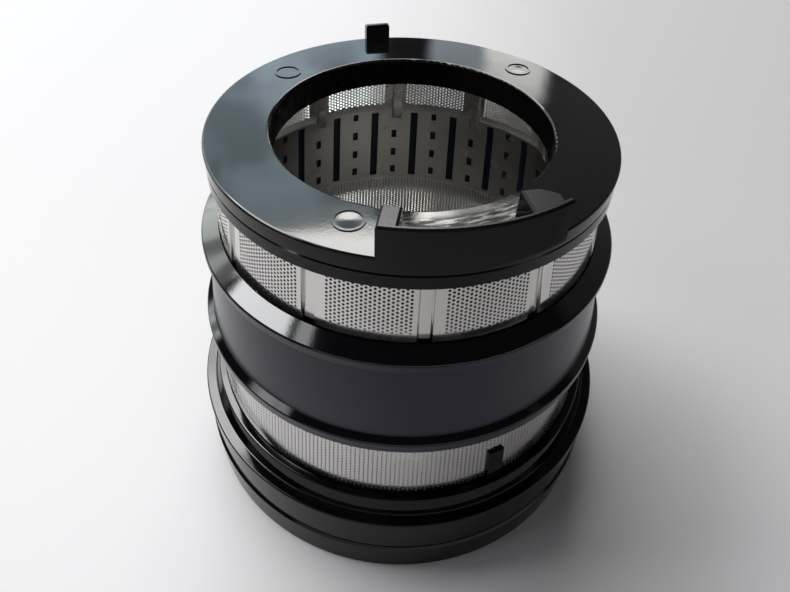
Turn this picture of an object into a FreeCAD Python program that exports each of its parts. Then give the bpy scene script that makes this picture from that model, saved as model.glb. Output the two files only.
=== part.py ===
import FreeCAD, Part
import os
import Sketcher

# Juicer mesh screen: a cone of perforated steel held by four moulded black rings.
# It stands on its wide base ring, with the narrow flange and its locking lug on top.
# Lengths are in millimetres and angles in degrees. The axis is Z and the locking lug faces -Y.
SIZES = [
    ("sheet_thickness", 0.6, "thickness of the rolled steel sheet, measured level"),
    ("sheet_middle", 0.3, "depth from the sheet's outer surface to its middle"),
    ("sheet_foot", 24.0, "height of the sheet's lower edge, inside the base ring"),
    ("sheet_foot_radius", 49.3, "outer radius of the sheet at its lower edge"),
    ("sheet_head", 88.6, "height of the sheet's upper edge, inside the top collar"),
    ("sheet_head_radius", 40.74, "outer radius of the sheet at its upper edge"),
    ("pattern_turn", 20.0, "direction of the first column of small holes"),
    ("bead_count", 12, "pressed beads around the sheet"),
    ("bead_turn", -0.85, "turn from a column of small holes to the bead above it"),
    ("bead_depth", 0.8, "how far a bead is pressed inwards"),
    ("bead_sweep", 3.9, "angle that the groove of a bead covers outside"),
    ("ridge_sweep", 5.5, "angle that the ridge of a bead covers inside"),
    ("bead_foot", 73.8, "height of the lower end of a bead's groove"),
    ("bead_head", 86.0, "height of the upper end of a bead"),
    ("bead_ramp", 1.1, "height over which the end of a bead slopes out"),
    ("slot_count", 24, "long slots and columns of small holes around the sheet"),
    ("slot_turn", 7.5, "turn from a column of small holes to the next slot"),
    ("slot_sweep", 2.7, "angle that a slot covers"),
    ("slot_foot", 49.5, "height of the lower end of the slots"),
    ("slot_head", 72.9, "height of the upper end of the slots"),
    ("hole_sweep", 1.9, "angle that a small hole covers"),
    ("hole_height", 2.6, "height of a small hole"),
    ("hole_first", 50.4, "height of the lower edge of the lowest small hole"),
    ("hole_step", 6.57, "height from one small hole to the next"),
    ("column_turn", 15.0, "turn from a short column of holes, under a bead, to the next column"),
    ("base_lip_height", 9.5, "height of the lip"),
    ("base_lip_slope", 0.5, "height of the slope from the lip back to the skirt"),
    ("skirt_radius", 54.8, "outer radius of the base ring's skirt"),
    ("base_lip_overhang", 0.5, "how far the lip stands out from the skirt"),
    ("skirt_height", 22.1, "height of the wide ledge on top of the skirt"),
    ("skirt_wall", 2.4, "thickness of the skirt and of the wide ledge"),
    ("neck_foot_radius", 52.1, "outer radius of the neck where it rises from the wide ledge"),
    ("neck_radius", 50.6, "outer radius of the neck at its top"),
    ("neck_height", 26.4, "height of the neck"),
    ("shoulder_height", 26.45, "height at which the narrow ledge on top of the neck meets the sheet"),
    ("base_bore_radius", 48.0, "radius of the opening under the sheet's lower edge"),
    ("base_round", 0.5, "rounding of the skirt's top edge and of the neck's two edges"),
    ("base_foot_round", 0.5, "rounding of the lip's lower edge"),
    ("tab_turn", -78.0, "direction of the small tab in front of the sheet"),
    ("tab_sweep", 4.6, "angle that the tab covers"),
    ("tab_height", 36.6, "height of the top of the tab"),
    ("tab_thickness", 0.7, "how far the tab stands out from the sheet"),
    ("collar_face", 73.0, "height of the middle collar's top face at the sheet"),
    ("rim_height", 71.4, "height of the middle collar's top face at its rim"),
    ("rim_radius", 46.75, "outer radius of the middle collar's rim"),
    ("rim_thickness", 2.2, "thickness of the rim"),
    ("band_head_radius", 45.2, "outer radius of the band just under the rim"),
    ("band_foot_radius", 48.0, "outer radius of the band just above the lower lip"),
    ("collar_lip_head", 49.8, "height at which the band ends and the lower lip begins"),
    ("collar_lip_radius", 49.65, "outer radius of the lower lip"),
    ("collar_lip_top", 48.7, "height of the top of the lip's outer face"),
    ("collar_lip_low", 46.4, "height of the bottom of the lip's outer face"),
    ("collar_foot_radius", 48.1, "outer radius of the collar's lower edge"),
    ("collar_foot", 43.8, "height of the collar's lower edge"),
    ("collar_round", 0.5, "rounding of the rim and of the lip"),
    ("top_collar_foot", 86.8, "height of the top collar's lower face"),
    ("top_collar_radius", 42.65, "outer radius of the top collar at its lower face"),
    ("top_collar_bore", 38.0, "inner radius of the top collar"),
    ("top_collar_round", 0.4, "rounding of the top collar's lower edge"),
    ("seam_height", 89.8, "height of the seam between the top collar and the flange"),
    ("seam_bevel", 0.25, "bevel on both sides of the seam"),
    ("flange_radius", 42.5, "outer radius of the flange"),
    ("flange_face", 93.2, "height of the flange's top face"),
    ("flange_hole_radius", 29.35, "radius of the hole in the flange"),
    ("flange_hole_foot", 87.0, "height of the lower edge of the wall around the hole"),
    ("flange_hole_wall", 2.2, "thickness of the wall around the hole"),
    ("flange_round", 0.5, "rounding of the flange's upper edges"),
    ("lug_root", 90.6, "height at which the locking lug grows from the flange's side"),
    ("lug_top", 99.6, "height of the top of the locking lug"),
    ("lug_wall", 1.2, "thickness of the lug's curved wall"),
    ("lug_turn", -90.0, "direction of the middle of the lug"),
    ("lug_half_sweep", 23.3, "angle from the middle of the lug's wall to each of its ends"),
    ("lug_bevel", 0.4, "bevel of the top edges of the lug and of the key block"),
    ("post_width", 3.4, "width of the small post at one end of the lug"),
    ("post_inner", 36.4, "distance from the axis to the post's inner face"),
    ("post_outer", 41.9, "distance from the axis to the post's outer end, inside the lug's wall"),
    ("wedge_turn", -73.3, "direction of the wedge at the other end of the lug"),
    ("wedge_inner", 35.6, "distance from the axis to the wedge's inner corner"),
    ("wedge_bend", 36.7, "distance to the start of the wedge's cut corner"),
    ("wedge_side", 39.5, "distance to the end of the wedge's cut corner"),
    ("wedge_outer", 41.7, "distance to the wedge's outer end, inside the lug's wall"),
    ("wedge_left_inner", 1.4, "inner corner's offset to the left"),
    ("wedge_left_outer", 3.4, "outer corner's offset to the left"),
    ("wedge_right_inner", 1.7, "cut corner's offset to the right where it starts"),
    ("wedge_right_side", 3.9, "cut corner's offset to the right where it ends"),
    ("wedge_right_outer", 3.2, "outer corner's offset to the right"),
    ("key_turn", 87.2, "direction of the key block behind"),
    ("key_sweep", 8.2, "angle that the key block covers"),
    ("key_thickness", 1.7, "thickness of the key block"),
    ("key_top", 96.8, "height of the top of the key block"),
    ("mark_ring_radius", 3.0, "outer radius of a round moulding mark"),
    ("mark_hollow_radius", 2.5, "inner radius of a round moulding mark"),
    ("mark_height", 0.2, "height of a moulding mark above the flange"),
    ("mark_front_turn", -123.4, "direction of the front mark"),
    ("mark_front_reach", 34.4, "distance from the axis to the front mark"),
    ("mark_left_turn", 129.3, "direction of the left mark"),
    ("mark_left_reach", 35.3, "distance from the axis to the left mark"),
    ("mark_right_turn", 31.3, "direction of the right mark"),
    ("mark_right_reach", 36.6, "distance from the axis to the right mark"),
]
SIZE = {name: value for name, value, meaning in SIZES}

doc = FreeCAD.newDocument("juicer_mesh_screen")
table = doc.addObject("Spreadsheet::Sheet", "Sizes")
for row, (size_name, size_value, meaning) in enumerate(SIZES, start=1):
    table.set(f"A{row}", meaning)
    table.set(f"B{row}", str(size_value))
    table.setAlias(f"B{row}", size_name)
doc.recompute()


def amount(words):
    """Value of a sum of sizes such as 'skirt_radius - skirt_wall'."""
    total = 0.0
    sign = 1
    for word in words.split():
        if word in ("+", "-"):
            sign = 1 if word == "+" else -1
        else:
            total += sign * SIZE[word]
    return total


def linked(words):
    """The same sum written as an expression on the size table."""
    return " ".join(word if word in ("+", "-") else f"Sizes.{word}" for word in words.split())


def cone_radius(height):
    """Outer radius of the steel cone at a height."""
    rise = (height - SIZE["sheet_foot"]) / (SIZE["sheet_head"] - SIZE["sheet_foot"])
    return SIZE["sheet_foot_radius"] + rise * (SIZE["sheet_head_radius"] - SIZE["sheet_foot_radius"])


def new_body(label):
    body = doc.addObject("PartDesign::Body", label)
    body.Label = label
    return body


def origin_plane(body, role):
    return next(item for item in body.Origin.OriginFeatures if item.Role == role)


def new_sketch(body, name, plane, offset):
    sketch = body.newObject("Sketcher::SketchObject", name)
    sketch.AttachmentSupport = [(origin_plane(body, plane), "")]
    sketch.MapMode = "FlatFace"
    sketch.AttachmentOffset = offset
    return sketch


def pin_point(sketch, line, end, across, up):
    """Fixes one end of a line by two sums of sizes, measured from the sketch's origin."""
    for kind, words in (("DistanceX", across), ("DistanceY", up)):
        if words == "floor":
            sketch.addConstraint(Sketcher.Constraint("PointOnObject", line, end, -1))
            continue
        at = sketch.addConstraint(Sketcher.Constraint(kind, -1, 1, line, end, amount(words)))
        sketch.setExpression(f"Constraints[{at}]", linked(words))


def close_outline(sketch, points):
    """Draws straight lines through the points, joins their ends and returns the first line."""
    first = sketch.GeometryCount
    for start, stop in zip(points, points[1:] + points[:1]):
        line = Part.LineSegment(FreeCAD.Vector(*start, 0), FreeCAD.Vector(*stop, 0))
        sketch.addGeometry(line, False)
    for side in range(len(points)):
        following = (side + 1) % len(points)
        sketch.addConstraint(Sketcher.Constraint("Coincident", first + side, 2, first + following, 1))
    return first


def cone_line(sketch, shift):
    """Adds a construction line along the steel cone, moved inwards by a sum of sizes."""
    foot = "sheet_foot_radius" + shift
    head = "sheet_head_radius" + shift
    start = FreeCAD.Vector(amount(foot), SIZE["sheet_foot"], 0)
    stop = FreeCAD.Vector(amount(head), SIZE["sheet_head"], 0)
    line = sketch.addGeometry(Part.LineSegment(start, stop), True)
    pin_point(sketch, line, 1, foot, "sheet_foot")
    pin_point(sketch, line, 2, head, "sheet_head")
    return line


def section(body, name, outlines, turn=None):
    """Half section in a plane through the axis, from outlines with corners given as radius and height.

    A radius that begins with the word cone lies on the steel cone, less the sizes after it.
    """
    offset = FreeCAD.Placement()
    if turn:
        offset = FreeCAD.Placement(FreeCAD.Vector(), FreeCAD.Rotation(FreeCAD.Vector(0, 1, 0), SIZE[turn]))
    sketch = new_sketch(body, name, "XZ_Plane", offset)
    if turn:
        sketch.setExpression(".AttachmentOffset.Rotation.Angle", f"Sizes.{turn}")
    lines = {}
    for corners in outlines:
        points = []
        for radius, height in corners:
            level = 0.0 if height == "floor" else amount(height)
            if radius.startswith("cone"):
                points.append((cone_radius(level) + amount(radius[4:]), level))
            else:
                points.append((amount(radius), level))
        first = close_outline(sketch, points)
        for side, (radius, height) in enumerate(corners, start=first):
            if not radius.startswith("cone"):
                pin_point(sketch, side, 1, radius, height)
                continue
            shift = radius[4:]
            if shift not in lines:
                lines[shift] = cone_line(sketch, shift)
            sketch.addConstraint(Sketcher.Constraint("PointOnObject", side, 1, lines[shift]))
            at = sketch.addConstraint(Sketcher.Constraint("DistanceY", -1, 1, side, 1, amount(height)))
            sketch.setExpression(f"Constraints[{at}]", linked(height))
    return sketch


def turned(body, name, *outlines, sweep=None, turn=None, cut=False):
    """Turns a half section about the axis, all the way round or over an angle about its direction."""
    sketch = section(body, name + "_section", outlines, turn)
    kind = "PartDesign::Groove" if cut else "PartDesign::Revolution"
    feature = body.newObject(kind, name)
    feature.Profile = sketch
    feature.ReferenceAxis = (sketch, ["V_Axis"])
    feature.Angle = 360.0
    if sweep:
        feature.Midplane = True
        feature.setExpression("Angle", linked(sweep))
    sketch.Visibility = False
    body.Tip = feature
    doc.recompute()
    return feature


def repeated(body, name, feature, count):
    """Repeats a feature around the axis."""
    pattern = body.newObject("PartDesign::PolarPattern", name)
    pattern.Originals = [feature]
    pattern.Axis = (feature.Profile[0], ["V_Axis"])
    pattern.Angle = 360.0
    pattern.setExpression("Occurrences", f"Sizes.{count}")
    body.Tip = pattern
    doc.recompute()
    return pattern


def eased(body, name, kind, edges, size):
    """Adds a fillet or a chamfer of one size along the named edges."""
    solid = body.Tip
    feature = body.newObject(f"PartDesign::{kind}", name)
    feature.Base = (solid, edges)
    feature.setExpression("Radius" if kind == "Fillet" else "Size", f"Sizes.{size}")
    body.Tip = feature
    doc.recompute()


def rounded(body, name, rims, size):
    """Rounds the circular edges of the body's shape at the given radii and heights."""
    solid = body.Tip
    wanted = [(amount(radius), 0.0 if height == "floor" else amount(height)) for radius, height in rims]
    edges = []
    for number, edge in enumerate(solid.Shape.Edges, start=1):
        if not isinstance(edge.Curve, Part.Circle):
            continue
        place = (edge.Curve.Radius, edge.Curve.Center.z)
        if any(abs(place[0] - radius) < 0.01 and abs(place[1] - level) < 0.01 for radius, level in wanted):
            edges.append(f"Edge{number}")
    eased(body, name, "Fillet", edges, size)


def bevelled_top(body, name, height, size):
    """Bevels every edge of the body's shape that lies level at a height."""
    level = amount(height)
    edges = []
    for number, edge in enumerate(body.Tip.Shape.Edges, start=1):
        if all(abs(corner.Z - level) < 0.01 for corner in edge.Vertexes):
            edges.append(f"Edge{number}")
    eased(body, name, "Chamfer", edges, size)


def flat_sketch(body, name, turn):
    """Level sketch on the flange's top face, with its X axis in the given direction."""
    place = FreeCAD.Vector(0, 0, SIZE["flange_face"])
    offset = FreeCAD.Placement(place, FreeCAD.Rotation(FreeCAD.Vector(0, 0, 1), amount(turn)))
    sketch = new_sketch(body, name, "XY_Plane", offset)
    sketch.setExpression(".AttachmentOffset.Base.z", "Sizes.flange_face")
    sketch.setExpression(".AttachmentOffset.Rotation.Angle", linked(turn))
    return sketch


def raised(body, name, sketch, height):
    """Raises a level sketch by a sum of sizes."""
    pad = body.newObject("PartDesign::Pad", name)
    pad.Profile = sketch
    pad.setExpression("Length", linked(height))
    sketch.Visibility = False
    body.Tip = pad
    doc.recompute()
    return pad


def sideways(words):
    """Value of a sideways offset: a size to the left or, with a minus, to the right."""
    if words == "axis":
        return 0.0
    return -amount(words[1:]) if words.startswith("-") else amount(words)


def pin_corner(sketch, side, across, offset):
    """Fixes a corner by its distance from the axis and its sideways offset."""
    at = sketch.addConstraint(Sketcher.Constraint("DistanceX", -1, 1, side, 1, amount(across)))
    sketch.setExpression(f"Constraints[{at}]", linked(across))
    if offset == "axis":
        sketch.addConstraint(Sketcher.Constraint("PointOnObject", side, 1, -1))
        return
    at = sketch.addConstraint(Sketcher.Constraint("DistanceY", -1, 1, side, 1, sideways(offset)))
    sign = "-" if offset.startswith("-") else ""
    sketch.setExpression(f"Constraints[{at}]", sign + linked(offset.lstrip("-")))


def block(body, name, turn, corners, height):
    """Block on the flange, from corners given as distance from the axis and sideways offset."""
    sketch = flat_sketch(body, name + "_outline", turn)
    close_outline(sketch, [(amount(across), sideways(offset)) for across, offset in corners])
    for side, (across, offset) in enumerate(corners):
        pin_corner(sketch, side, across, offset)
    return raised(body, name, sketch, height)


# Steel screen: one rolled cone with pressed beads, long slots and columns of small holes.
screen = new_body("screen")
turned(screen, "sheet", [
    ("cone", "sheet_foot"),
    ("cone", "sheet_head"),
    ("cone - sheet_thickness", "sheet_head"),
    ("cone - sheet_thickness", "sheet_foot"),
])
ridge = turned(screen, "bead_ridge", [
    ("cone - sheet_middle", "bead_foot - bead_ramp"),
    ("cone - sheet_middle", "bead_head"),
    ("cone - sheet_thickness - bead_depth", "bead_head - bead_ramp"),
    ("cone - sheet_thickness - bead_depth", "bead_foot"),
], sweep="ridge_sweep", turn="bead_turn")
repeated(screen, "bead_ridges", ridge, "bead_count")
groove = turned(screen, "bead_groove", [
    ("cone + sheet_middle", "bead_foot"),
    ("cone + sheet_middle", "bead_head - sheet_thickness"),
    ("cone - bead_depth", "bead_head - bead_ramp - sheet_thickness"),
    ("cone - bead_depth", "bead_foot + bead_ramp - sheet_middle"),
], sweep="bead_sweep", turn="bead_turn", cut=True)
repeated(screen, "bead_grooves", groove, "bead_count")
slot = turned(screen, "slot", [
    ("cone + sheet_middle", "slot_foot"),
    ("cone + sheet_middle", "slot_head"),
    ("cone - sheet_thickness - sheet_middle", "slot_head"),
    ("cone - sheet_thickness - sheet_middle", "slot_foot"),
], sweep="slot_sweep", turn="slot_turn", cut=True)
repeated(screen, "slots", slot, "slot_count")
hole_rows = []
for level in range(4):
    foot = "hole_first" + " + hole_step" * level
    hole_rows.append([
        ("cone + sheet_middle", foot),
        ("cone + sheet_middle", foot + " + hole_height"),
        ("cone - sheet_thickness - sheet_middle", foot + " + hole_height"),
        ("cone - sheet_thickness - sheet_middle", foot),
    ])
holes = turned(screen, "hole_column", *hole_rows[:3], sweep="hole_sweep", cut=True)
repeated(screen, "hole_columns", holes, "slot_count")
high_hole = turned(screen, "high_hole", hole_rows[3], sweep="hole_sweep", turn="column_turn", cut=True)
repeated(screen, "high_holes", high_hole, "bead_count")
screen.Placement = FreeCAD.Placement(
    FreeCAD.Vector(), FreeCAD.Rotation(FreeCAD.Vector(0, 0, 1), SIZE["pattern_turn"]))
screen.setExpression(".Placement.Rotation.Angle", "Sizes.pattern_turn")

# Base ring: lip, skirt, wide ledge, sloped neck and narrow ledge, moulded around the sheet's foot.
base_ring = new_body("base_ring")
turned(base_ring, "base", [
    ("skirt_radius + base_lip_overhang", "floor"),
    ("skirt_radius + base_lip_overhang", "base_lip_height"),
    ("skirt_radius", "base_lip_height + base_lip_slope"),
    ("skirt_radius", "skirt_height"),
    ("neck_foot_radius", "skirt_height"),
    ("neck_radius", "neck_height"),
    ("cone", "shoulder_height"),
    ("cone", "sheet_foot"),
    ("base_bore_radius", "sheet_foot"),
    ("base_bore_radius", "skirt_height - skirt_wall"),
    ("skirt_radius - skirt_wall", "skirt_height - skirt_wall"),
    ("skirt_radius - skirt_wall", "floor"),
])
rounded(base_ring, "base_edges", [
    ("skirt_radius", "skirt_height"),
    ("neck_foot_radius", "skirt_height"),
    ("neck_radius", "neck_height"),
], "base_round")
rounded(base_ring, "base_foot_edge", [("skirt_radius + base_lip_overhang", "floor")], "base_foot_round")
turned(base_ring, "tab", [
    ("cone", "sheet_foot + sheet_thickness"),
    ("cone + tab_thickness", "sheet_foot + sheet_thickness"),
    ("cone + tab_thickness", "tab_height"),
    ("cone", "tab_height"),
], sweep="tab_sweep", turn="tab_turn")

# Middle collar: sloped top face, thin rim, tall tapered band and a rounded lip below.
middle_collar = new_body("middle_collar")
turned(middle_collar, "collar", [
    ("cone", "collar_face"),
    ("cone", "collar_foot"),
    ("collar_foot_radius", "collar_foot"),
    ("collar_lip_radius", "collar_lip_low"),
    ("collar_lip_radius", "collar_lip_top"),
    ("band_foot_radius", "collar_lip_head"),
    ("band_head_radius", "rim_height - rim_thickness"),
    ("rim_radius", "rim_height - rim_thickness"),
    ("rim_radius", "rim_height"),
])
rounded(middle_collar, "collar_edges", [
    ("rim_radius", "rim_height"),
    ("rim_radius", "rim_height - rim_thickness"),
    ("collar_lip_radius", "collar_lip_top"),
    ("collar_lip_radius", "collar_lip_low"),
], "collar_round")

# Top collar: a ring with a groove in its lower face that grips the sheet's upper edge.
top_collar = new_body("top_collar")
turned(top_collar, "collar_ring", [
    ("cone", "top_collar_foot"),
    ("top_collar_radius", "top_collar_foot"),
    ("flange_radius", "seam_height - seam_bevel"),
    ("flange_radius - seam_bevel", "seam_height"),
    ("top_collar_bore", "seam_height"),
    ("top_collar_bore", "top_collar_foot"),
    ("cone - sheet_thickness", "top_collar_foot"),
    ("cone - sheet_thickness", "sheet_head"),
    ("cone", "sheet_head"),
])
rounded(top_collar, "collar_ring_edge", [("top_collar_radius", "top_collar_foot")], "top_collar_round")

# Flange: flat plate with a wall around its hole, the locking lug, the key block and moulding marks.
top_flange = new_body("top_flange")
turned(top_flange, "plate", [
    ("flange_radius - seam_bevel", "seam_height"),
    ("flange_radius", "seam_height + seam_bevel"),
    ("flange_radius", "flange_face"),
    ("flange_hole_radius", "flange_face"),
    ("flange_hole_radius", "flange_hole_foot"),
    ("flange_hole_radius + flange_hole_wall", "flange_hole_foot"),
    ("flange_hole_radius + flange_hole_wall", "seam_height"),
])
rounded(top_flange, "plate_edges", [
    ("flange_radius", "flange_face"),
    ("flange_hole_radius", "flange_face"),
], "flange_round")
turned(top_flange, "lug_wall_arc", [
    ("flange_radius - lug_wall", "lug_root"),
    ("flange_radius", "lug_root"),
    ("flange_radius", "lug_top"),
    ("flange_radius - lug_wall", "lug_top"),
], sweep="lug_half_sweep + lug_half_sweep", turn="lug_turn")
turned(top_flange, "key_block", [
    ("flange_radius - key_thickness", "lug_root"),
    ("flange_radius", "lug_root"),
    ("flange_radius", "key_top"),
    ("flange_radius - key_thickness", "key_top"),
], sweep="key_sweep", turn="key_turn")
for mark in ("front", "left", "right"):
    mark_sketch = flat_sketch(top_flange, f"mark_{mark}_outline", f"mark_{mark}_turn")
    reach = f"mark_{mark}_reach"
    for ring_size in ("mark_ring_radius", "mark_hollow_radius"):
        centre = FreeCAD.Vector(SIZE[reach], 0, 0)
        ring = mark_sketch.addGeometry(Part.Circle(centre, FreeCAD.Vector(0, 0, 1), SIZE[ring_size]), False)
        mark_sketch.addConstraint(Sketcher.Constraint("PointOnObject", ring, 3, -1))
        across = mark_sketch.addConstraint(Sketcher.Constraint("DistanceX", -1, 1, ring, 3, SIZE[reach]))
        mark_sketch.setExpression(f"Constraints[{across}]", f"Sizes.{reach}")
        wide = mark_sketch.addConstraint(Sketcher.Constraint("Radius", ring, SIZE[ring_size]))
        mark_sketch.setExpression(f"Constraints[{wide}]", f"Sizes.{ring_size}")
    raised(top_flange, f"mark_{mark}", mark_sketch, "mark_height")
block(top_flange, "lug_post", "lug_turn - lug_half_sweep", [
    ("post_inner", "axis"),
    ("post_outer", "axis"),
    ("post_outer", "post_width"),
    ("post_inner", "post_width"),
], "lug_top - flange_face")
block(top_flange, "lug_wedge", "wedge_turn", [
    ("wedge_inner", "-wedge_left_inner"),
    ("wedge_outer", "-wedge_left_outer"),
    ("wedge_outer", "wedge_right_outer"),
    ("wedge_side", "wedge_right_side"),
    ("wedge_bend", "wedge_right_inner"),
], "lug_top - flange_face")
bevelled_top(top_flange, "lug_edges", "lug_top", "lug_bevel")
bevelled_top(top_flange, "key_edges", "key_top", "lug_bevel")

doc.recompute()
broken = [item.Name for item in doc.Objects if "Invalid" in item.State or "Error" in item.State]
if broken:
    raise RuntimeError("these features failed: " + ", ".join(broken))
bodies = [top_flange, top_collar, screen, middle_collar, base_ring]
for body in bodies:
    if body.Shape.isNull() or not body.Shape.isValid() or len(body.Shape.Solids) != 1:
        raise RuntimeError(body.Label + " is not one valid solid")
os.makedirs("parts", exist_ok=True)
for body in bodies:
    body.Shape.exportStep(f"parts/{body.Label}.step")
    print(body.Label, "volume", round(body.Shape.Volume, 2), "faces", len(body.Shape.Faces))
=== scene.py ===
import math

import bpy
from mathutils import Matrix, Vector


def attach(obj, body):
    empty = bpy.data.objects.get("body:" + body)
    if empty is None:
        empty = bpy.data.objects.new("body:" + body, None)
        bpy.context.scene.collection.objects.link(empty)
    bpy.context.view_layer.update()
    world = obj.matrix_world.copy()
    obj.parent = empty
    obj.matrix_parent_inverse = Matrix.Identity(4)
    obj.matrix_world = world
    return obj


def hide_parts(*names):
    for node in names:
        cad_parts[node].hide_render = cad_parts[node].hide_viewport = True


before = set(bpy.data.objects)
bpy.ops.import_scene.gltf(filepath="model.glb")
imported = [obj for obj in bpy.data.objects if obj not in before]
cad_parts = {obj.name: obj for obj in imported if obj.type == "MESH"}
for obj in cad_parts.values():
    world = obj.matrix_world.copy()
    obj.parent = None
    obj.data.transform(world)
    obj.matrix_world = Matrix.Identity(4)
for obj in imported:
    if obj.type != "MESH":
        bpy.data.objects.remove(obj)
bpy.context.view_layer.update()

MM = 0.001

# Steel cone in millimetres, as in the part's source
SHEET = 0.6
FOOT_HEIGHT = 24.0
FOOT_RADIUS = 49.3
HEAD_HEIGHT = 88.6
HEAD_RADIUS = 40.74
TAPER = (FOOT_RADIUS - HEAD_RADIUS) / (HEAD_HEIGHT - FOOT_HEIGHT)

# Bands of the sheet: fine mesh below, slots in the middle, punched windows above
BASE_TOP = 26.4
MIDDLE_FOOT = 48.4
UPPER_FOOT = 72.95

# Where the sheet is drawn in just above a ring: ring's top, head of the curve, and how strongly it curves
DRAWN_IN = ((UPPER_FOOT, 77.2), (BASE_TOP, 30.2))
DRAWN_CURVE = 0.017
HIDDEN_FOOT = 2.84
HIDDEN_RAMP = 2.6

# Levels that split the faces of the sheet where it curves
BASE_LEVELS = (25.2, BASE_TOP, 26.9)
STRIP_LEVELS = (70.6, 71.2, 72.0)
CURVE_LEVELS = (73.0, 73.4, 73.8, 74.2)

# Pressed beads and plain strips of the upper band, in degrees and millimetres
PATTERN_TURN = 20.0
BEAD_STEP = 30.0
STRIP_HALF = 3.8889
STRIP_FOOT = 70.11
STRIP_LINES = (-3.35, 1.7, 2.5, 3.2)
BEAD_TURN = -0.85
BEAD_HALF = 1.95
BEAD_SIDE = 0.5
BEAD_LINES = (0.65, 1.3, BEAD_HALF - BEAD_SIDE, 1.575, 1.7, 1.825, BEAD_HALF, 2.1)
BEAD_DEPTH = 0.8
BEAD_HEAD = 86.7
BEAD_RAMP = 0.8
BEAD_FULL = 76.2
BEAD_SHALLOWER = 0.1

# Round holes of the upper band and of the fine lower mesh
WINDOW_COLUMNS = 20
WINDOW_FOOT = 74.7
WINDOW_HALF_STEP = 0.4315
WINDOW_HALF_STEPS = 29
WINDOW_HOLE = 0.28
WINDOW_SIDES = 8
FINE_COLUMNS = 300
FINE_FOOT = 27.4
FINE_HALF_STEP = 0.5
FINE_HALF_STEPS = 41
FINE_HOLE = 0.19
FINE_STRETCH = 1.7
FINE_SIDES = 6

# Slots and small holes of the middle band
COLUMN_STEP = 15.0
SLOT_TURN = 7.5
SLOT_HALF = 1.35
SLOT_FOOT = 49.5
SLOT_HEAD = 72.3
HOLE_HALF = 0.95
HOLE_HEIGHT = 2.6
HOLE_FEET = (50.4, 56.97, 63.54, 70.11)
HOLE_SIDE_LINE = 2.3
SLOT_SIDE_LINE = 4.9

# Edges are shaded as sharp where faces meet at more than this, in degrees
SHARP_EDGE = 35.0

# Locking lug in metres: its top, the satin just below it, and where the scuffs on its wall begin and end
LUG_TOP = 0.0996
LUG_SATIN = (LUG_TOP - 0.0011, LUG_TOP - 0.0005)
LUG_ROOT = (0.0904, 0.0912)
LUG_BACK = (-0.033, -0.03)
LUG_END = (0.0169, 0.0173)
LUG_SCUFFS = (-0.004, 0.015)
LUG_WEAR = (-0.012, 0.012)

# Worn streaks behind the lug, by angle in radians, distance from the axis and height in metres
STREAK_LEFT = (-0.36, -0.28)
STREAK_RIGHT = (0.32, 0.42)
STREAK_INNER = (0.0303, 0.0322)
STREAK_TOP = (0.0935, 0.0945)
STREAK_EDGE = (0.35, 0.53)
STREAK_LENGTH = 0.006

# Moulding marks on the flange: direction and distance from the axis, and their radius and height in metres
MARKS = ((-123.4, 34.4), (129.3, 35.3), (31.3, 36.6))
MARK_RADIUS = 0.0026
FLANGE_FACE = 0.0932

# How far a face is turned up: from wall to slope, from slope to level, and where it is level
WALL_TO_SLOPE = (0.1, 0.33)
SLOPE_TO_LEVEL = (0.8, 0.98)
LEVEL = (0.9, 0.99)

# Range in which most of a noise lies
NOISE_RANGE = (0.3, 0.7)

PLASTIC_IOR = 1.42
SLOPE_SHINE = 0.28
DULL_SHINE = 0.1

# Colours of the steel inside and outside the cone, for the plain sheet and for the fine mesh; the brighter,
# warmer inside colours are painted light
SHEET_PAINTED_LIGHT_INSIDE = (0.78, 0.75, 0.69)
SHEET_OUTSIDE = (0.61, 0.6, 0.58)
MESH_PAINTED_LIGHT_INSIDE = (0.96, 0.95, 0.93)
MESH_OUTSIDE = (0.55, 0.54, 0.525)

# Bright parts of the room: azimuth from +Y towards +X, elevation, softness, strength, colour and mottling
ROOM_LIGHTS = [
    (-22.0, 13.2, 8.0, 38.8, 1.0, 2.75, (0.8, 1.0, 1.12), 0.5),
    (-58.0, -22.0, 10.0, 38.8, 1.5, 5.6, (0.95, 1.02, 0.97), 0.65),
    (-46.0, 18.0, 39.3, 45.0, 1.0, 16.0, (1.0, 0.99, 0.96), 0.0),
    (-46.0, 18.0, 45.0, 51.0, 1.0, 9.5, (1.0, 0.99, 0.96), 0.0),
    (-46.0, 18.0, 51.0, 59.0, 1.0, 14.0, (0.97, 1.0, 1.0), 0.0),
    (-46.0, 18.0, 59.5, 66.0, 1.5, 3.6, (0.9, 1.0, 1.05), 0.5),
    (18.0, 31.0, 36.5, 50.0, 1.0, 18.0, (1.0, 0.99, 0.93), 0.75),
    (18.2, 23.5, 8.0, 26.0, 0.8, 2.2, (0.9, 1.0, 1.1), 0.3),
    (23.5, 29.5, 8.0, 27.0, 0.8, 5.5, (1.0, 1.0, 0.96), 0.3),
    (-74.0, -46.0, 42.0, 60.5, 1.0, 20.0, (0.97, 0.99, 1.0), 0.0),
    (-92.0, -60.0, 62.6, 66.8, 0.6, 7.0, (0.97, 1.0, 1.0), 0.2),
    (-103.0, -82.0, 33.0, 44.0, 2.0, 6.0, (1.0, 0.97, 1.0), 0.3),
    (30.0, 100.0, 4.0, 45.0, 3.0, 0.14, (1.0, 1.0, 0.96), 0.0),
    (120.0, 184.0, 8.0, 35.0, 3.0, 0.8, (1.0, 1.0, 1.04), 0.0),
    (-184.0, -120.0, 8.0, 35.0, 3.0, 0.8, (1.0, 1.0, 1.04), 0.0),
]
ROOM_SHADE = (0.05, 0.05, 0.05)
BLOTCH_EDGE = (0.4, 0.62)
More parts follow.
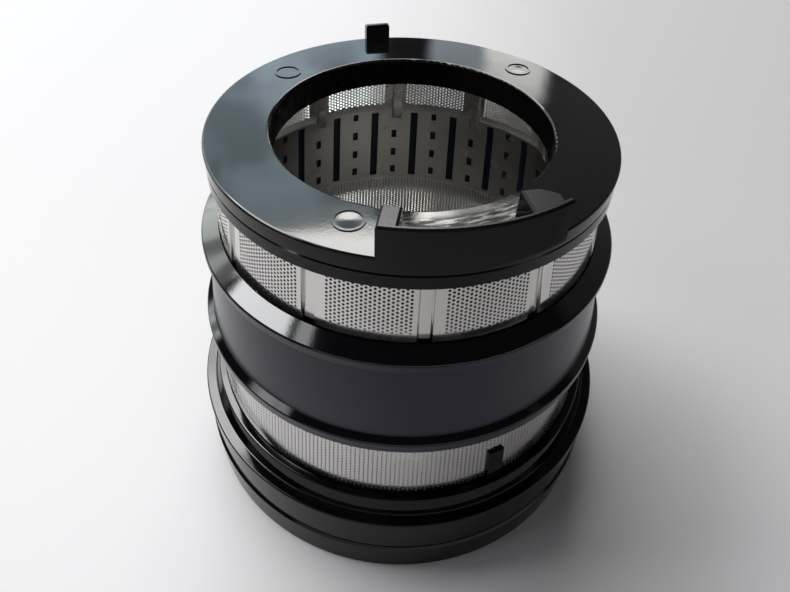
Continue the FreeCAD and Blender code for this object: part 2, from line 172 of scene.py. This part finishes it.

# Floor in metres: half its width, its level, and where painted shade makes its tone greyer across the view
# and in front
FLOOR_REACH = 4.0
FLOOR_LEVEL = -0.00005
FLOOR_SHADE_SLANT = -0.35
FLOOR_SHADE_ACROSS = (-0.09, 0.12)
FLOOR_SHADE_FRONT = (-0.16, -0.09)
FLOOR_TINT = (("Red", 1.0), ("Green", 0.96), ("Blue", 0.985))

# Camera fitted to the photograph: place in metres, two of its axes, and its lens and sensor in millimetres
CAMERA_PLACE = (-0.03264, -0.10800, 0.15778)
CAMERA_RIGHT = Vector((0.96980, -0.24203, 0.03020))
CAMERA_UP = Vector((0.15359, 0.70218, 0.69524))
CAMERA_LENS = 27.43
CAMERA_SENSOR = 36.0


def smooth(x):
    x = min(1.0, max(0.0, x))
    return x * x * (3.0 - 2.0 * x)


def cone_radius(z):
    return FOOT_RADIUS - TAPER * (z - FOOT_HEIGHT)


def drawn_in(z):
    """How far the sheet is drawn in just above a ring, which makes its foot upright."""
    for foot, head in DRAWN_IN:
        hidden = (z - foot + HIDDEN_FOOT) / HIDDEN_RAMP
        if hidden > 0.0 and z < head:
            return DRAWN_CURVE * (head - max(z, foot)) ** 2 * min(1.0, hidden)
    return 0.0


def bead_press(angle, z):
    """How far the sheet is pressed inwards by the nearest bead."""
    half_step = BEAD_STEP / 2
    off = (angle - PATTERN_TURN - BEAD_TURN + half_step) % BEAD_STEP - half_step
    across = smooth((BEAD_HALF - abs(off)) / BEAD_SIDE)
    along = smooth((z - STRIP_FOOT) / (2 * BEAD_RAMP)) * smooth((BEAD_HEAD - z) / BEAD_RAMP)
    along *= 1.0 - BEAD_SHALLOWER * max(0.0, BEAD_FULL - z)
    return BEAD_DEPTH * across * along


class Sheet:
    """Bent sheet with an outer and an inner face, whose open edges are walled when it is made."""

    def __init__(self):
        self.points = []
        self.patches = []
        self.known = {}

    def corner(self, angle, z):
        key = (round(angle % 360.0, 3) % 360.0, round(z, 4))
        if key not in self.known:
            self.known[key] = len(self.points)
            outer = cone_radius(z) - bead_press(angle, z) - drawn_in(z)
            turn = math.radians(angle)
            pair = []
            for radius in (outer, outer - SHEET):
                pair.append((radius * math.cos(turn) * MM, radius * math.sin(turn) * MM, z * MM))
            self.points.append(pair)
        return self.known[key]

    def patch(self, places):
        self.patches.append([self.corner(angle, z) for angle, z in places])

    def quad(self, left, right, low, high):
        self.patch([(left, low), (right, low), (right, high), (left, high)])

    def make(self, name):
        vertices = [point for pair in self.points for point in pair]
        faces = []
        edges = set()
        for patch in self.patches:
            faces.append([2 * corner for corner in patch])
            faces.append([2 * corner + 1 for corner in reversed(patch)])
            edges.update(zip(patch, patch[1:] + patch[:1]))
        for start, stop in edges:
            if (stop, start) not in edges:
                faces.append([2 * stop, 2 * start, 2 * start + 1, 2 * stop + 1])
        mesh = bpy.data.meshes.new(name)
        mesh.from_pydata(vertices, [], faces)
        mesh.shade_smooth()
        mesh.set_sharp_from_angle(angle=math.radians(SHARP_EDGE))
        piece = bpy.data.objects.new(name, mesh)
        bpy.context.scene.collection.objects.link(piece)
        return piece


def hole_fan(width, height, sides):
    """Triangles between a cell's six outline points and the hole's rim, numbered outline first."""
    right, top = width / 2, height / 2
    outline = [(-right, -top), (right, -top), (right, 0.0), (right, top), (-right, top), (-right, 0.0)]
    turns = [(math.atan2(z, x) % math.tau, number) for number, (x, z) in enumerate(outline)]
    corner = max(turns)[1]
    first_rim = len(outline)
    rim = first_rim + sides - 1
    turns += [((side + 0.5) / sides * math.tau, first_rim + side) for side in range(sides)]
    triangles = []
    for _, number in sorted(turns):
        triangles.append((corner, number, rim))
        if number < first_rim:
            corner = number
        else:
            rim = number
    return triangles


def punch(sheet, lines, levels, radius, sides, stretch=1.0, odd_first=False):
    """Staggered holes, round or stretched upwards, in a field of upright lines and half-step levels."""
    width = math.radians(lines[1] - lines[0]) * cone_radius(levels[0])
    fan = hole_fan(width, levels[2] - levels[0], sides)
    rim = [(side + 0.5) / sides * math.tau for side in range(sides)]
    for column, (left, right) in enumerate(zip(lines, lines[1:])):
        step = (column + odd_first) % 2
        if step:
            sheet.quad(left, right, levels[0], levels[1])
        while step + 2 < len(levels):
            low, middle, high = levels[step:step + 3]
            places = [(left, low), (right, low), (right, middle)]
            places += [(right, high), (left, high), (left, middle)]
            spread = math.degrees(radius / cone_radius(middle))
            for turn in rim:
                across = (left + right) / 2 + spread * math.cos(turn)
                places.append((across, middle + radius * stretch * math.sin(turn)))
            for triangle in fan:
                sheet.patch([places[number] for number in triangle])
            step += 2
        if step + 1 < len(levels):
            sheet.quad(left, right, levels[step], levels[step + 1])


def grid(sheet, lines, levels):
    for left, right in zip(lines, lines[1:]):
        for low, high in zip(levels, levels[1:]):
            sheet.quad(left, right, low, high)


def upper_band():
    """Twelve plain strips with pressed beads, and twelve windows of round holes between them."""
    sheet = Sheet()
    foot_levels = [UPPER_FOOT, *CURVE_LEVELS, WINDOW_FOOT]
    hole_levels = [WINDOW_FOOT + WINDOW_HALF_STEP * step for step in range(WINDOW_HALF_STEPS + 1)]
    head_levels = [hole_levels[-1], HEAD_HEIGHT]
    strip_levels = [STRIP_FOOT, *STRIP_LEVELS, *foot_levels, *hole_levels[1:], HEAD_HEIGHT]
    offsets = [-STRIP_HALF, *STRIP_LINES, STRIP_HALF, BEAD_TURN]
    for side in BEAD_LINES:
        offsets += [BEAD_TURN - side, BEAD_TURN + side]
    offsets.sort()
    pitch = (BEAD_STEP - 2 * STRIP_HALF) / WINDOW_COLUMNS
    for turn in range(round(360.0 / BEAD_STEP)):
        centre = PATTERN_TURN + BEAD_STEP * turn
        grid(sheet, [centre + offset for offset in offsets], strip_levels)
        lines = [centre + STRIP_HALF + pitch * column for column in range(WINDOW_COLUMNS)]
        lines.append(centre + BEAD_STEP - STRIP_HALF)
        grid(sheet, lines, foot_levels)
        punch(sheet, lines, hole_levels, WINDOW_HOLE, WINDOW_SIDES, odd_first=turn % 2 == 0)
        grid(sheet, lines, head_levels)
    return sheet.make("screen_upper")


def middle_band():
    """Plain sheet with long slots, and columns of three or four small holes between them."""
    sheet = Sheet()
    holes = [(foot, min(foot + HOLE_HEIGHT, SLOT_HEAD)) for foot in HOLE_FEET]
    levels = {MIDDLE_FOOT, SLOT_FOOT, SLOT_HEAD, UPPER_FOOT}
    for hole in holes:
        levels.update(hole)
    levels = sorted(levels)
    slot_left, slot_right = SLOT_TURN - SLOT_HALF, SLOT_TURN + SLOT_HALF
    strip_right = COLUMN_STEP - STRIP_HALF
    offsets = [-HOLE_HALF, 0.0, HOLE_HALF, HOLE_SIDE_LINE, STRIP_HALF, SLOT_SIDE_LINE]
    offsets += [slot_left, SLOT_TURN, slot_right]
    offsets += [COLUMN_STEP - line for line in (SLOT_SIDE_LINE, STRIP_HALF, HOLE_SIDE_LINE, HOLE_HALF)]
    for column in range(round(360.0 / COLUMN_STEP)):
        centre = PATTERN_TURN + COLUMN_STEP * column
        under_bead = column % 2 == 0
        rows = holes[:3] if under_bead else holes
        for left, right in zip(offsets, offsets[1:]):
            at = (left + right) / 2
            under_strip = at < STRIP_HALF if under_bead else at > strip_right
            for low, high in zip(levels, levels[1:]):
                in_slot = slot_left < at < slot_right and SLOT_FOOT <= low < SLOT_HEAD
                in_hole = abs(at) < HOLE_HALF and any(foot <= low < head for foot, head in rows)
                in_strip = under_strip and low >= STRIP_FOOT
                if not in_slot and not in_hole and not in_strip:
                    sheet.quad(centre + left, centre + right, low, high)
    return sheet.make("screen_middle")


def lower_band(name, first, last):
    """Fine mesh over part of the turn, with plain steel at both edges."""
    sheet = Sheet()
    levels = [FINE_FOOT + FINE_HALF_STEP * step for step in range(FINE_HALF_STEPS + 1)]
    lines = [360.0 / FINE_COLUMNS * column for column in range(first, last + 1)]
    grid(sheet, lines, [FOOT_HEIGHT, *BASE_LEVELS, FINE_FOOT])
    punch(sheet, lines, levels, FINE_HOLE, FINE_SIDES, stretch=FINE_STRETCH)
    grid(sheet, lines, [levels[-1], MIDDLE_FOOT])
    return sheet.make(name)


# Node trees

def new_node(tree, kind, **settings):
    node = tree.nodes.new(kind)
    for name, value in settings.items():
        setattr(node, name, value)
    return node


def feed(tree, socket, value):
    if isinstance(value, bpy.types.NodeSocket):
        tree.links.new(value, socket)
    else:
        socket.default_value = value


def calculate(tree, operation, first, second=0.0):
    node = new_node(tree, "ShaderNodeMath", operation=operation)
    feed(tree, node.inputs[0], first)
    feed(tree, node.inputs[1], second)
    return node.outputs[0]


def product(tree, value, *factors):
    for factor in factors:
        value = calculate(tree, "MULTIPLY", value, factor)
    return value


def ramp(tree, value, low, high, to_low=0.0, to_high=1.0):
    """Smooth change from one value to another."""
    node = new_node(tree, "ShaderNodeMapRange", interpolation_type="SMOOTHSTEP")
    feed(tree, node.inputs["Value"], value)
    node.inputs["From Min"].default_value = low
    node.inputs["From Max"].default_value = high
    node.inputs["To Min"].default_value = to_low
    node.inputs["To Max"].default_value = to_high
    return node.outputs["Result"]


def fade(tree, value, low, high):
    """Smooth change from 1 to 0."""
    return ramp(tree, value, low, high, to_low=1.0, to_high=0.0)


def tint(tree, value, low, high, colour_low, colour_high):
    """Smooth change from one colour to another."""
    mixed = new_node(tree, "ShaderNodeCombineColor")
    for channel, from_level, to_level in zip(("Red", "Green", "Blue"), colour_low, colour_high):
        feed(tree, mixed.inputs[channel], ramp(tree, value, low, high, from_level, to_level))
    return mixed.outputs[0]


def noise(tree, place, scale, detail=2.0):
    node = new_node(tree, "ShaderNodeTexNoise")
    feed(tree, node.inputs["Vector"], place)
    node.inputs["Scale"].default_value = scale
    node.inputs["Detail"].default_value = detail
    return node.outputs["Fac"]


def bump(tree, height, distance, normal=None):
    node = new_node(tree, "ShaderNodeBump")
    node.inputs["Strength"].default_value = 1.0
    node.inputs["Distance"].default_value = distance
    feed(tree, node.inputs["Height"], height)
    if normal:
        feed(tree, node.inputs["Normal"], normal)
    return node.outputs["Normal"]


def split_axes(tree, vector):
    split = new_node(tree, "ShaderNodeSeparateXYZ")
    tree.links.new(vector, split.inputs[0])
    return [split.outputs[axis] for axis in "XYZ"]


def face_normal(tree):
    return new_node(tree, "ShaderNodeNewGeometry").outputs["Normal"]


def upward(tree):
    """How far a surface faces up, from 0 on an upright wall to 1 on a level face."""
    return split_axes(tree, face_normal(tree))[2]


def new_material(name):
    material = bpy.data.materials.new(name)
    material.use_nodes = True
    tree = material.node_tree
    tree.nodes.clear()
    shader = new_node(tree, "ShaderNodeBsdfPrincipled")
    output = new_node(tree, "ShaderNodeOutputMaterial")
    tree.links.new(shader.outputs["BSDF"], output.inputs["Surface"])
    place = new_node(tree, "ShaderNodeTexCoord").outputs["Object"]
    return material, tree, shader, place


# Materials

def worn_streaks(tree, place):
    """Dull streaks around the axis, on the flange's face behind the locking lug."""
    east, north, height = split_axes(tree, place)
    squares = calculate(tree, "ADD", product(tree, east, east), product(tree, north, north))
    reach = calculate(tree, "SQRT", squares)
    turn = calculate(tree, "ARCTAN2", east, product(tree, north, -1.0))
    around = new_node(tree, "ShaderNodeCombineXYZ")
    feed(tree, around.inputs["X"], product(tree, turn, STREAK_LENGTH))
    feed(tree, around.inputs["Y"], reach)
    streaks = ramp(tree, noise(tree, around.outputs[0], scale=1100.0, detail=3.0), *STREAK_EDGE)
    behind_lug = product(tree, ramp(tree, turn, *STREAK_LEFT), fade(tree, turn, *STREAK_RIGHT))
    on_face = product(tree, ramp(tree, reach, *STREAK_INNER), fade(tree, height, *STREAK_TOP))
    return product(tree, streaks, behind_lug, on_face, ramp(tree, upward(tree), *LEVEL))


def scuffed_wall(tree, place):
    """Where the locking lug's wall is scuffed, more and more towards its right end."""
    east, north, height = split_axes(tree, place)
    along = product(tree, ramp(tree, east, *LUG_SCUFFS), fade(tree, east, *LUG_END))
    on_lug = product(tree, fade(tree, north, *LUG_BACK), ramp(tree, height, *LUG_ROOT))
    return product(tree, along, on_lug, fade(tree, upward(tree), *WALL_TO_SLOPE))


def dished_marks(tree, place):
    """Height of the slightly dished discs inside the flange's moulding marks."""
    dish = 1.0
    for turn, reach in MARKS:
        across = reach * MM * math.cos(math.radians(turn))
        along = reach * MM * math.sin(math.radians(turn))
        apart = new_node(tree, "ShaderNodeVectorMath", operation="DISTANCE")
        tree.links.new(place, apart.inputs[0])
        apart.inputs[1].default_value = (across, along, FLANGE_FACE)
        dish = product(tree, dish, ramp(tree, apart.outputs["Value"], 0.0, MARK_RADIUS))
    return dish


def gloss_plastic(name, side_shine):
    """Polished black plastic, duller on upright walls and satin on top of the locking lug."""
    material, tree, shader, place = new_material(name)
    shader.inputs["Base Color"].default_value = (0.001, 0.001, 0.0012, 1.0)
    shader.inputs["IOR"].default_value = PLASTIC_IOR
    east, _, height = split_axes(tree, place)
    on_lug = ramp(tree, height, *LUG_SATIN)
    clouds = noise(tree, place, scale=90.0, detail=3.0)
    polish = ramp(tree, clouds, *NOISE_RANGE, to_low=0.04, to_high=0.08)
    feed(tree, shader.inputs["Roughness"], calculate(tree, "ADD", polish, product(tree, on_lug, 0.3)))
    facing_up = upward(tree)
    sloped = ramp(tree, facing_up, *WALL_TO_SLOPE, to_low=side_shine, to_high=SLOPE_SHINE)
    shine = calculate(tree, "ADD", sloped, ramp(tree, facing_up, *SLOPE_TO_LEVEL, to_high=0.22))
    streaked = product(tree, worn_streaks(tree, place), 0.9)
    scuffed = product(tree, scuffed_wall(tree, place), 0.85)
    lug_wear = product(tree, on_lug, ramp(tree, east, *LUG_WEAR, to_high=0.6))
    worn = calculate(tree, "MAXIMUM", calculate(tree, "MAXIMUM", streaked, scuffed), lug_wear)
    unworn = calculate(tree, "SUBTRACT", 1.0, worn)
    feed(tree, shader.inputs["Specular IOR Level"], product(tree, shine, unworn))
    wavy = bump(tree, noise(tree, place, scale=55.0), distance=0.00008)
    marked = bump(tree, dished_marks(tree, place), distance=0.00005, normal=wavy)
    coarser = calculate(tree, "ADD", product(tree, on_lug, 9.0), 1.0)
    grain = product(tree, noise(tree, place, scale=1600.0), coarser)
    feed(tree, shader.inputs["Normal"], bump(tree, grain, distance=0.0000025, normal=marked))
    return material


def satin_plastic():
    """Satin black plastic, polished where it faces up, with a painted bluish sheen on its upright walls."""
    material, tree, shader, place = new_material("satin_black")
    shader.inputs["IOR"].default_value = PLASTIC_IOR
    facing_up = upward(tree)
    wall, slope = 0.3, 0.7
    # Painted sheen: upright walls get a dark navy colour, level faces plain black
    painted_sheen_navy = tint(tree, facing_up, 0.15, 0.4, (0.004, 0.006, 0.018), (0.001, 0.001, 0.002))
    tree.links.new(painted_sheen_navy, shader.inputs["Base Color"])
    feed(tree, shader.inputs["Roughness"], ramp(tree, facing_up, wall, slope, to_low=0.24, to_high=0.07))
    shine = ramp(tree, facing_up, wall, slope, to_low=0.44, to_high=0.5)
    feed(tree, shader.inputs["Specular IOR Level"], shine)
    grain = noise(tree, place, scale=2200.0)
    feed(tree, shader.inputs["Normal"], bump(tree, grain, distance=0.000004))
    return material


def brushed_steel(name, painted_light_inside, outside):
    """Smooth rolled steel with faint unevenness, duller inside the cone, where painted light makes its
    colour brighter and warmer.
    """
    material, tree, shader, place = new_material(name)
    shader.inputs["Metallic"].default_value = 1.0
    outwards = new_node(tree, "ShaderNodeVectorMath", operation="DOT_PRODUCT")
    tree.links.new(face_normal(tree), outwards.inputs[0])
    tree.links.new(place, outwards.inputs[1])
    facing_in, facing_out = -0.005, 0.005
    # Painted light: the inside of the cone gets a brighter, warmer colour than the outside
    grey = tint(tree, outwards.outputs["Value"], facing_in, facing_out, painted_light_inside, outside)
    tree.links.new(grey, shader.inputs["Base Color"])
    clouds = noise(tree, place, scale=140.0, detail=3.0)
    cloudy = ramp(tree, clouds, *NOISE_RANGE, to_low=0.12, to_high=0.18)
    duller = ramp(tree, outwards.outputs["Value"], facing_in, facing_out, to_low=0.1, to_high=0.0)
    feed(tree, shader.inputs["Roughness"], calculate(tree, "ADD", cloudy, duller))
    grain = noise(tree, place, scale=900.0)
    feed(tree, shader.inputs["Normal"], bump(tree, grain, distance=0.000004))
    return material


# Room, floor and camera

def room():
    """Dim room with a few bright windows, which the camera sees as plain white."""
    world = bpy.data.worlds.new("room")
    bpy.context.scene.world = world
    world.use_nodes = True
    tree = world.node_tree
    tree.nodes.clear()
    direction = new_node(tree, "ShaderNodeTexCoord").outputs["Generated"]
    east, north, height = split_axes(tree, direction)
    azimuth = product(tree, calculate(tree, "ARCTAN2", east, north), math.degrees(1.0))
    elevation = product(tree, calculate(tree, "ARCSINE", height), math.degrees(1.0))
    blotches = ramp(tree, noise(tree, direction, scale=9.0, detail=3.0), *BLOTCH_EDGE)
    light = ROOM_SHADE
    for left, right, low, high, soft, strength, colour, mottling in ROOM_LIGHTS:
        mask = product(tree, ramp(tree, azimuth, left - soft, left + soft, to_high=strength),
                       fade(tree, azimuth, right - soft, right + soft),
                       ramp(tree, elevation, low - soft, low + soft),
                       fade(tree, elevation, high - soft, high + soft),
                       calculate(tree, "SUBTRACT", 1.0, product(tree, blotches, mottling)))
        glow = new_node(tree, "ShaderNodeVectorMath", operation="SCALE")
        glow.inputs[0].default_value = colour
        tree.links.new(mask, glow.inputs["Scale"])
        total = new_node(tree, "ShaderNodeVectorMath", operation="ADD")
        tree.links.new(glow.outputs[0], total.inputs[0])
        feed(tree, total.inputs[1], light)
        light = total.outputs[0]
    lit = new_node(tree, "ShaderNodeBackground")
    tree.links.new(light, lit.inputs["Color"])
    white = new_node(tree, "ShaderNodeBackground")
    white.inputs["Color"].default_value = (1.0, 1.0, 1.0, 1.0)
    seen = new_node(tree, "ShaderNodeMixShader")
    tree.links.new(new_node(tree, "ShaderNodeLightPath").outputs["Is Camera Ray"], seen.inputs["Fac"])
    tree.links.new(lit.outputs[0], seen.inputs[1])
    tree.links.new(white.outputs[0], seen.inputs[2])
    output = new_node(tree, "ShaderNodeOutputWorld")
    tree.links.new(seen.outputs[0], output.inputs["Surface"])


def table_top():
    """Large pale floor under the object, with painted shade making it greyer to the right and in front,
    where less light falls.
    """
    corners = []
    for x, y in ((-1, -1), (1, -1), (1, 1), (-1, 1)):
        corners.append((x * FLOOR_REACH, y * FLOOR_REACH, FLOOR_LEVEL))
    mesh = bpy.data.meshes.new("floor")
    mesh.from_pydata(corners, [], [(0, 1, 2, 3)])
    floor = bpy.data.objects.new("floor", mesh)
    bpy.context.scene.collection.objects.link(floor)
    material, tree, shader, place = new_material("table_white")
    east, north, _ = split_axes(tree, place)
    # Painted shade: the floor's colour is made greyer to the right and in front
    across = calculate(tree, "ADD", east, product(tree, north, FLOOR_SHADE_SLANT))
    painted_shade_tone = product(tree, ramp(tree, across, *FLOOR_SHADE_ACROSS, to_low=0.43, to_high=0.305),
                   ramp(tree, north, *FLOOR_SHADE_FRONT, to_low=0.8, to_high=1.0))
    grey = new_node(tree, "ShaderNodeCombineColor")
    for channel, share in FLOOR_TINT:
        tree.links.new(product(tree, painted_shade_tone, share), grey.inputs[channel])
    tree.links.new(grey.outputs[0], shader.inputs["Base Color"])
    shader.inputs["Roughness"].default_value = 0.6
    mesh.materials.append(material)


def photo_camera():
    """Camera where the photograph was taken from."""
    data = bpy.data.cameras.new("camera")
    data.sensor_fit = "HORIZONTAL"
    data.sensor_width = CAMERA_SENSOR
    data.lens = CAMERA_LENS
    data.clip_start = 0.005
    data.clip_end = 20.0
    camera = bpy.data.objects.new("camera", data)
    bpy.context.scene.collection.objects.link(camera)
    back = CAMERA_RIGHT.cross(CAMERA_UP)
    axes = Matrix((CAMERA_RIGHT, CAMERA_UP, back)).transposed().to_4x4()
    camera.matrix_world = Matrix.Translation(CAMERA_PLACE) @ axes
    bpy.context.scene.camera = camera


photo_camera()
room()
table_top()
bpy.context.scene.view_settings.view_transform = "Standard"

gloss = gloss_plastic("gloss_black", SLOPE_SHINE)
dull_sided = gloss_plastic("gloss_black_base", DULL_SHINE)
satin = satin_plastic()
steel = brushed_steel("steel", SHEET_PAINTED_LIGHT_INSIDE, SHEET_OUTSIDE)
mesh_steel = brushed_steel("steel_mesh", MESH_PAINTED_LIGHT_INSIDE, MESH_OUTSIDE)
finishes = {"top_flange": gloss, "top_collar": gloss, "base_ring": dull_sided, "middle_collar": satin}
for node, material in finishes.items():
    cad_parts[node].material_slots[0].material = material

half_turn = FINE_COLUMNS // 2
lower_back = lower_band("screen_lower_back", 0, half_turn)
lower_front = lower_band("screen_lower_front", half_turn, FINE_COLUMNS)
pieces = [(upper_band(), steel), (middle_band(), steel), (lower_back, mesh_steel), (lower_front, mesh_steel)]
for piece, material in pieces:
    piece.data.materials.append(material)
    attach(piece, "root")
    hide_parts("screen")
